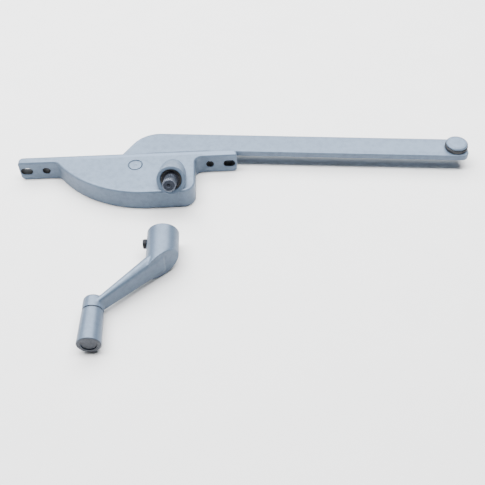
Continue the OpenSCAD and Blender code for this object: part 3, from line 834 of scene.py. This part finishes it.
def make_handle():
    hub_r = (HANDLE_HIGH.z - HANDLE_LOW.z) / 2
    hub = Vector((HANDLE_HIGH.x - hub_r, HANDLE_HIGH.y, hub_r))
    back = Vector((0, -1, 0))
    slope = math.radians(FACE_SLOPE)
    start = hub.y - FACE_V
    body = rod(hub_r, facing(hub, back), -4.0, FACE_V + 2 * hub_r)
    corner = Vector((hub.x + hub_r, start, 0))
    work = bmesh.new()
    work.from_mesh(body.data)
    cut = bmesh.ops.bisect_plane(work, geom=work.verts[:] + work.edges[:] + work.faces[:], dist=1e-7,
                                 plane_co=corner * MM, plane_no=(math.sin(slope), -math.cos(slope), 0),
                                 clear_outer=True)
    rim = [e for e in cut["geom_cut"] if isinstance(e, bmesh.types.BMEdge)]
    bmesh.ops.contextual_create(work, geom=rim)
    work.to_mesh(body.data)
    work.free()
    face_outward(body)
    outer_u = hub_r - WEB_INSET
    outer_v = FACE_V + WEB_INSET * math.tan(slope)
    knob_v = FACE_V + (hub.x + hub_r - KNOB.x - 2) * math.tan(slope)
    hub_half, hub_round, end_round = 8.8, 3.2, 2.0
    end_half = COLLAR_R - 0.9
    balls = []
    for side in (-1, 1):
        balls.append((Vector((hub.x + outer_u, hub.y - outer_v + hub_round + 0.2,
                              hub.z + side * (hub_half - hub_round))), hub_round))
        balls.append((Vector((hub.x - hub_r + hub_round, hub.y - FACE_V - 9.2,
                              hub.z + side * (hub_half - hub_round))), hub_round))
        balls.append((Vector((KNOB.x + 2, hub.y - knob_v + end_round,
                              KNOB.z + side * (end_half - end_round))), end_round))
    web = wrapped("web", balls)
    knob_axis = facing(Vector((KNOB.x, hub.y, KNOB.z)), back)
    collar = lathe("collar", [(0, COLLAR_V[0], 0), (COLLAR_R - 0.2, COLLAR_V[0], 1.8), (COLLAR_R, 56, 2),
                              (COLLAR_R, COLLAR_V[1] + 1, 0), (0, COLLAR_V[1] + 1, 0)], knob_axis)
    work = bmesh.new()
    for part in (body, web, collar):
        work.from_mesh(part.data)
        bpy.data.objects.remove(part)
    handle = mesh_object("crank_handle", work)
    grain = handle.modifiers.new("grain", "REMESH")
    grain.mode = "VOXEL"
    grain.voxel_size = size("handle_grain") * MM
    soft = handle.modifiers.new("soft", "SMOOTH")
    soft.factor = 0.5
    soft.iterations = 10
    bake(handle)
    face_outward(handle)
    socket_r, socket_len = 4.4, 19.5
    teeth = [facing(hub, back) @ Vector((*polar(r, i * 180 / SPLINE_TEETH), z))
             for z in (-5, socket_len) for i, r in enumerate([4.85, 4.1] * SPLINE_TEETH)]
    count = 2 * SPLINE_TEETH
    groove = loft("grooves", [teeth[:count], teeth[count:]])
    screw = facing(Vector((hub.x, hub.y - SET_SCREW_V, hub.z)), (-1, 0, 0))
    carve(handle, [
        block("mouth", (hub.x - 20, hub.y, -20), (hub.x + 20, hub.y + 10, 40)),
        lathe("socket", [(0, -1, 0), (socket_r + 0.8, -1, 0), (socket_r + 0.8, 0, 0), (socket_r, 0.9, 0.2),
                         (socket_r, socket_len, 0), (0, socket_len, 0)], facing(hub, back)),
        groove,
        rod(SET_SCREW_BORE_R, screw, 0, hub_r + 3),
        block("seat", (KNOB.x - 20, hub.y - COLLAR_V[1] - 5, -20), (KNOB.x + 20, hub.y - COLLAR_V[1], 40)),
        rod(KNOB_BORE_R, knob_axis, COLLAR_V[0] - 1, COLLAR_V[1] + 2),
    ])
    finish_piece(handle, material("handle_paint"), "handle", ["handle"], 40)


def make_knob():
    low, high = node_span("knob")
    length_mm = high.y - low.y
    place = facing(Vector((KNOB.x, high.y, KNOB.z)), (0, -1, 0))
    near, far = 6.9, (high.x - low.x) / 2
    corners = [(2.65, 0, 0), (near - 0.5, 0, 0.2), (near, 0.5, 0.3), (far, length_mm - 0.7, 0.4),
               (far - 0.7, length_mm, 0.4), (4.9, length_mm, 0.15),
               (4.8, length_mm - 2.3, 0), (2.65, length_mm - 2.3, 0)]
    grip = tube("turning_knob", corners, place, 128)
    finish_piece(grip, material("knob_paint"), "knob", ["knob"])
    grip.data.materials.append(material("knob_end"))
    for face in grip.data.polygons:
        if face.center.y / MM < low.y + 0.4:
            face.material_index = 1


def make_set_screw():
    low, high = node_span("set_screw")
    centre = (low + high) / 2
    length_mm = high.x - low.x
    place = facing(Vector((high.x, centre.y, centre.z)), (-1, 0, 0))
    pitch, radius = 1.0, (high.z - low.z) / 2
    segments, per_turn = 48, 6
    rings = [[place @ Vector((*(polar(1.2, 360 * j / segments)), 0)) for j in range(segments)]]
    count = int(length_mm / pitch * per_turn)
    for i in range(count + 1):
        z = length_mm * i / count
        ends = 0.7 * max(0.0, 1 - z / 0.8) + 0.5 * max(0.0, 1 - (length_mm - z) / 0.5)
        ring = []
        for j in range(segments):
            phase = math.tau * (z / pitch - j / segments)
            r = radius - 0.18 + 0.17 * math.cos(phase) - ends
            ring.append(place @ Vector((*polar(r, 360 * j / segments), z)))
        rings.append(ring)
    screw = loft("set_screw_slotted", rings)
    slot = block("slot", (low.x - 1, centre.y - radius - 1, centre.z - 0.6),
                 (low.x + 1.4, centre.y + radius + 1, centre.z + 0.6))
    carve(screw, [slot])
    finish_piece(screw, material("black_oxide"), "set_screw", ["set_screw"], 35)


# ---------------------------------------------------------------- parts kept from the frame

KEPT = {
    "base_plate": "zinc", "base_screws": "zinc", "thrust_pad": "zinc", "upper_washer": "zinc",
    "lower_spacer": "zinc", "knob_pin": "knob_end", "gear_sector": "gear_steel", "gear_rivets": "gear_steel",
    "shaft_bushing": "bronze", "pivot_bushing": "bronze", "shaft_ring": "black_oxide",
    "knob_washer": "black_nylon",
}


def finish_kept_nodes():
    for node, finish in KEPT.items():
        part = frame["nodes"][node]
        part.data.materials.clear()
        part.data.materials.append(material(finish))
        edge = part.modifiers.new("edge", "BEVEL")
        edge.width = 0.12 * MM
        edge.segments = 2
        edge.limit_method = "ANGLE"
        edge.angle_limit = math.radians(50)


# ---------------------------------------------------------------- stage

def soft_light(name, place, target, across, power):
    """A white rectangular lamp that faces its target."""
    lamp = bpy.data.lights.new(name, "AREA")
    lamp.shape = "RECTANGLE"
    lamp.size, lamp.size_y = across
    lamp.energy = power
    holder = place_object(name, lamp)
    holder.location = place
    holder.rotation_euler = (Vector(target) - Vector(place)).to_track_quat("-Z", "Y").to_euler()


def make_stage():
    floor_mesh = bpy.data.meshes.new("floor")
    half = 3.0
    floor_mesh.from_pydata([(-half, -half, 0), (half, -half, 0), (half, half, 0), (-half, half, 0)], [],
                           [(0, 1, 2, 3)])
    floor = place_object("floor", floor_mesh)
    floor.location.z = -0.0004
    floor_mesh.materials.append(material("floor"))

    world = bpy.data.worlds.new("studio")
    world.use_nodes = True
    world.node_tree.nodes["Background"].inputs["Color"].default_value = (0.93, 0.96, 1.0, 1)
    world.node_tree.nodes["Background"].inputs["Strength"].default_value = 0.10
    bpy.context.scene.world = world
    middle = (0.06, -0.05, 0.0)
    soft_light("over", (0.02, 0.03, 1.25), (0.02, 0.03, 0.0), (1.8, 0.36), 58.0)
    soft_light("back", (-0.05, 0.80, 1.1), middle, (2.0, 0.9), 62.0)
    soft_light("left", (-0.95, 0.05, 0.6), middle, (0.5, 0.5), 5.0)

    pitch, yaw, roll = math.radians(48.36), math.radians(1.47), math.radians(-1.35)
    forward = Vector((math.sin(yaw) * math.cos(pitch), math.cos(yaw) * math.cos(pitch), -math.sin(pitch)))
    right = Vector((math.cos(yaw), -math.sin(yaw), 0))
    up = right.cross(forward)
    side = right * math.cos(roll) + up * math.sin(roll)
    top = up * math.cos(roll) - right * math.sin(roll)
    lens = bpy.data.cameras.new("camera")
    lens.sensor_width = 36
    lens.lens = 51.92
    lens.dof.use_dof = False
    lens.clip_start = 0.01
    camera = place_object("camera", lens)
    turn = Matrix((side, top, -forward)).transposed()
    camera.matrix_world = Matrix.Translation((0.06783, -0.40288, 0.363)) @ turn.to_4x4()
    bpy.context.scene.camera = camera


# ---------------------------------------------------------------- add-on

class OperatorBase:
    bl_options = {"REGISTER", "UNDO"}


class WINDOW_OT_housing(OperatorBase, bpy.types.Operator):
    """Casts the housing with its ears, boss, slots and screw holes"""
    bl_idname = "window.housing"
    bl_label = "Housing"

    def execute(self, context):
        make_housing()
        return {"FINISHED"}


class WINDOW_OT_pivot_head(OperatorBase, bpy.types.Operator):
    """Turns the flush head of the pivot pin"""
    bl_idname = "window.pivot_head"
    bl_label = "Pivot Head"

    def execute(self, context):
        make_pivot_head()
        return {"FINISHED"}


class WINDOW_OT_arm(OperatorBase, bpy.types.Operator):
    """Makes the swinging arm with its rounded edges"""
    bl_idname = "window.arm"
    bl_label = "Arm"

    def execute(self, context):
        make_arm()
        return {"FINISHED"}


class WINDOW_OT_guide(OperatorBase, bpy.types.Operator):
    """Turns the guide stud's cap and its roller"""
    bl_idname = "window.guide"
    bl_label = "Guide"

    def execute(self, context):
        make_guide()
        return {"FINISHED"}


class WINDOW_OT_crank_shaft(OperatorBase, bpy.types.Operator):
    """Cuts the splined crank shaft and its worm"""
    bl_idname = "window.crank_shaft"
    bl_label = "Crank Shaft"

    def execute(self, context):
        make_crank_shaft()
        return {"FINISHED"}


class WINDOW_OT_handle(OperatorBase, bpy.types.Operator):
    """Casts the crank handle with its socket and collar"""
    bl_idname = "window.handle"
    bl_label = "Handle"

    def execute(self, context):
        make_handle()
        return {"FINISHED"}


class WINDOW_OT_knob(OperatorBase, bpy.types.Operator):
    """Turns the tapered knob"""
    bl_idname = "window.knob"
    bl_label = "Knob"

    def execute(self, context):
        make_knob()
        return {"FINISHED"}


class WINDOW_OT_set_screw(OperatorBase, bpy.types.Operator):
    """Threads and slots the handle's set screw"""
    bl_idname = "window.set_screw"
    bl_label = "Set Screw"

    def execute(self, context):
        make_set_screw()
        return {"FINISHED"}


class WINDOW_OT_kept_nodes(OperatorBase, bpy.types.Operator):
    """Gives the parts kept from the frame their finishes"""
    bl_idname = "window.kept_nodes"
    bl_label = "Kept Parts"

    def execute(self, context):
        finish_kept_nodes()
        return {"FINISHED"}


class WINDOW_OT_stage(OperatorBase, bpy.types.Operator):
    """Sets the floor, the lights and the camera"""
    bl_idname = "window.stage"
    bl_label = "Stage"

    def execute(self, context):
        make_stage()
        return {"FINISHED"}


STEPS = (WINDOW_OT_housing, WINDOW_OT_pivot_head, WINDOW_OT_arm, WINDOW_OT_guide, WINDOW_OT_crank_shaft,
         WINDOW_OT_handle, WINDOW_OT_knob, WINDOW_OT_set_screw, WINDOW_OT_kept_nodes, WINDOW_OT_stage)


class WINDOW_PT_panel(bpy.types.Panel):
    """Lists the operator's pieces, sizes and colours"""
    bl_idname = "WINDOW_PT_panel"
    bl_label = "Window Operator"
    bl_space_type = "VIEW_3D"
    bl_region_type = "UI"
    bl_category = "Window Operator"

    def draw(self, context):
        column = self.layout.column()
        for step in STEPS:
            column.operator(step.bl_idname)
        for group in (context.scene.operator_sizes, context.scene.operator_colours):
            for name in group.__annotations__:
                column.prop(group, name)


CLASSES = (OperatorSizes, OperatorColours, *STEPS, WINDOW_PT_panel)


def register():
    for item in CLASSES:
        bpy.utils.register_class(item)
    bpy.types.Scene.operator_sizes = PointerProperty(type=OperatorSizes)
    bpy.types.Scene.operator_colours = PointerProperty(type=OperatorColours)


def unregister():
    del bpy.types.Scene.operator_colours
    del bpy.types.Scene.operator_sizes
    for item in reversed(CLASSES):
        bpy.utils.unregister_class(item)


def main():
    register()
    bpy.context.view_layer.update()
    for step in STEPS:
        group, call = step.bl_idname.split(".")
        getattr(getattr(bpy.ops, group), call)()


if __name__ == "__main__":
    main()
